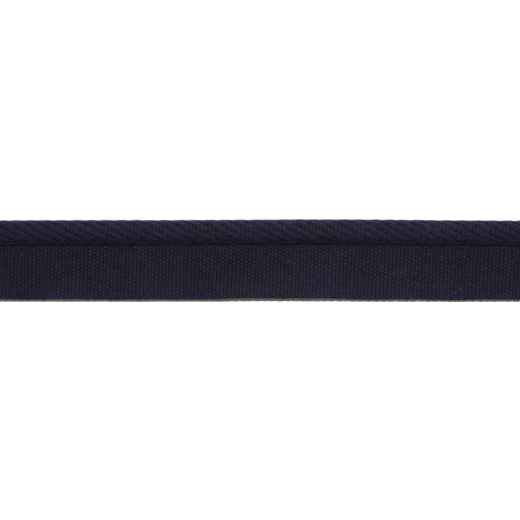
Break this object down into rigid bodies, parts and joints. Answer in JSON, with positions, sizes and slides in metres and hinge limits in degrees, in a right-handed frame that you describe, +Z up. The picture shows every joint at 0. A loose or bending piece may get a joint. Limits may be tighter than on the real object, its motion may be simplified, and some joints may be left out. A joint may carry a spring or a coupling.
{
  "type": "woven piping cord with flange",
  "caption": "Cut length of cotton piping: a round cord in a slanting twill cover, along one edge of a flat woven flange by which it is sewn into a seam.",
  "frame": {"origin": "on the surface that the trim lies on, under the middle of its bounding box", "axes": "+X along the cord, +Y across the flange towards the cord, +Z up from the surface"},
  "size_m": [0.1228, 0.0166, 0.0049],
  "materials": {
    "cover_cotton": "matte cotton, four-end twill",
    "flange_cotton": "matte cotton, plain weave with cross ribs"
  },
  "bodies": {
    "root": {"cord": "cover_cotton", "flange": "flange_cotton"}
  },
  "joints": []
}
